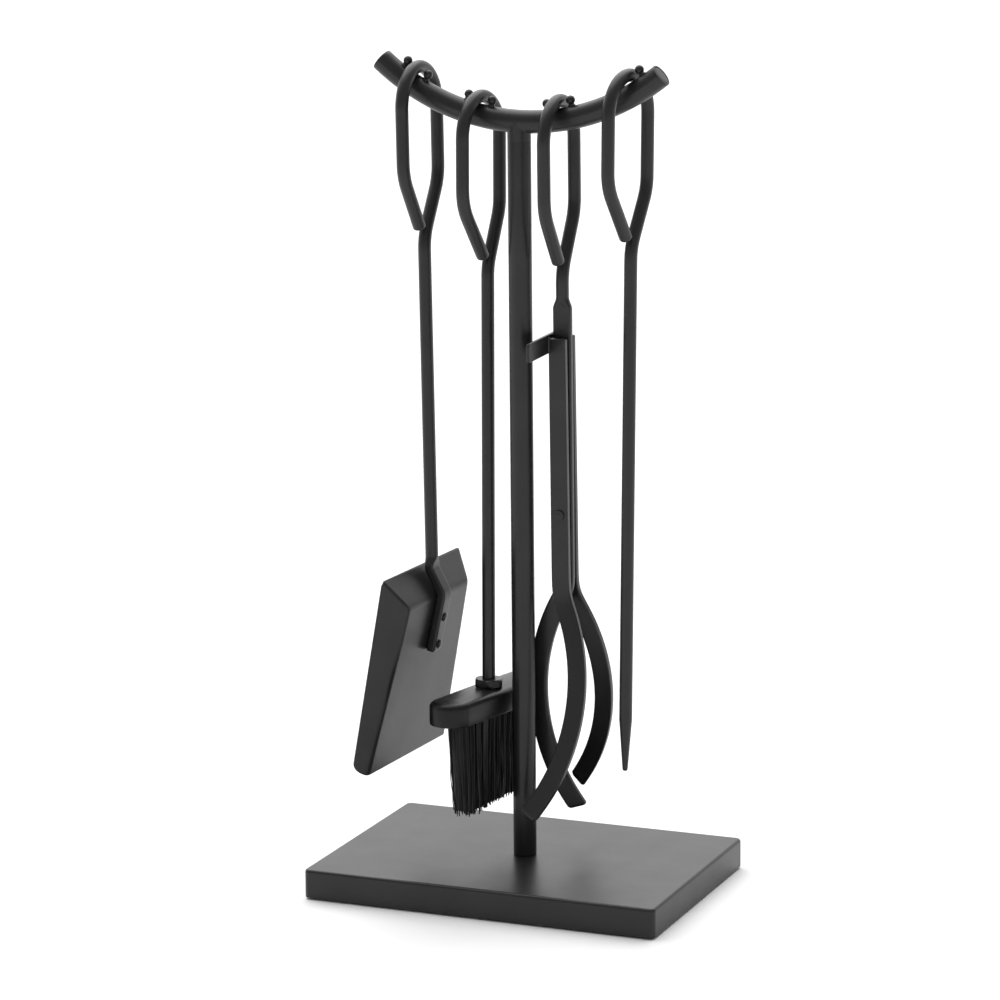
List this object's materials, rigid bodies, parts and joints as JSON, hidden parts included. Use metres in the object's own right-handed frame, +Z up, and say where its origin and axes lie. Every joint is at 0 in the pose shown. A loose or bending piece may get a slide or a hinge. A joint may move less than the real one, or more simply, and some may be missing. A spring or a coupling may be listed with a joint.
{
  "type": "fireplace tool set",
  "caption": "Black fireplace tool set: shovel, brush, tongs and poker hang by loop handles on a stand with a curved crossbar and a flat rectangular base.",
  "frame": {"origin": "centre of the rectangular base at floor level", "axes": "+X along the crossbar from the shovel to the poker, +Y to the back, +Z up along the post"},
  "size_m": [0.36, 0.25, 0.8074],
  "materials": {
    "powder_coat": "satin black powder coat",
    "black_lacquer": "semi-gloss black lacquer on wood",
    "bristle": "black crimped bristle",
    "foot_rubber": "matte black",
    "zinc_plate": "zinc plated"
  },
  "bodies": {
    "stand": {"base_shell": "powder_coat", "base_plate": "powder_coat", "foot_1": "foot_rubber", "foot_2": "foot_rubber", "foot_3": "foot_rubber", "foot_4": "foot_rubber", "post": "powder_coat", "post_plug": "zinc_plate", "post_washer": "zinc_plate", "post_bolt": "zinc_plate", "crossbar": "powder_coat", "crossbar_cap_left": "powder_coat", "crossbar_cap_right": "powder_coat", "peg_1": "powder_coat", "peg_2": "powder_coat", "peg_3": "powder_coat", "peg_4": "powder_coat", "peg_5": "powder_coat", "peg_6": "powder_coat", "peg_7": "powder_coat", "peg_8": "powder_coat"},
    "shovel": {"shovel_handle": "powder_coat", "shovel_pan": "powder_coat", "shovel_rivet_1": "powder_coat", "shovel_rivet_2": "powder_coat"},
    "brush": {"brush_handle": "powder_coat", "brush_nut": "powder_coat", "brush_head": "black_lacquer", "brush_bristles": "bristle"},
    "tongs": {"tongs_handle": "powder_coat", "tongs_centre_arm": "powder_coat", "tongs_pin": "powder_coat", "tongs_washer_front": "powder_coat", "tongs_washer_back": "powder_coat"},
    "tongs_jaw": {"tongs_front_arm": "powder_coat", "tongs_back_arm": "powder_coat", "tongs_lever": "powder_coat"},
    "poker": {"poker": "powder_coat"}
  },
  "joints": [
    {"name": "shovel_swing", "type": "hinge", "parent": "stand", "child": "shovel", "pos_m": [-0.10206, 0, 0.77202], "axis": [0.9994, -0.0349, 0], "range_deg": [-45, 45]},
    {"name": "brush_swing", "type": "hinge", "parent": "stand", "child": "brush", "pos_m": [-0.03862, 0, 0.74869], "axis": [0.9969, -0.0785, 0], "range_deg": [-40, 15]},
    {"name": "tongs_swing", "type": "hinge", "parent": "stand", "child": "tongs", "pos_m": [0.03995, 0, 0.74712], "axis": [1, -0.0052, 0], "range_deg": [0, 45]},
    {"name": "tongs_jaw_pivot", "type": "hinge", "parent": "tongs", "child": "tongs_jaw", "pos_m": [0.03739, 0.01557, 0.36942], "axis": [-0.0054, -0.9996, -0.0279], "range_deg": [0, 4]},
    {"name": "poker_swing", "type": "hinge", "parent": "stand", "child": "poker", "pos_m": [0.10967, 0, 0.77069], "axis": [0.9903, -0.1392, 0], "range_deg": [-45, 45]}
  ]
}
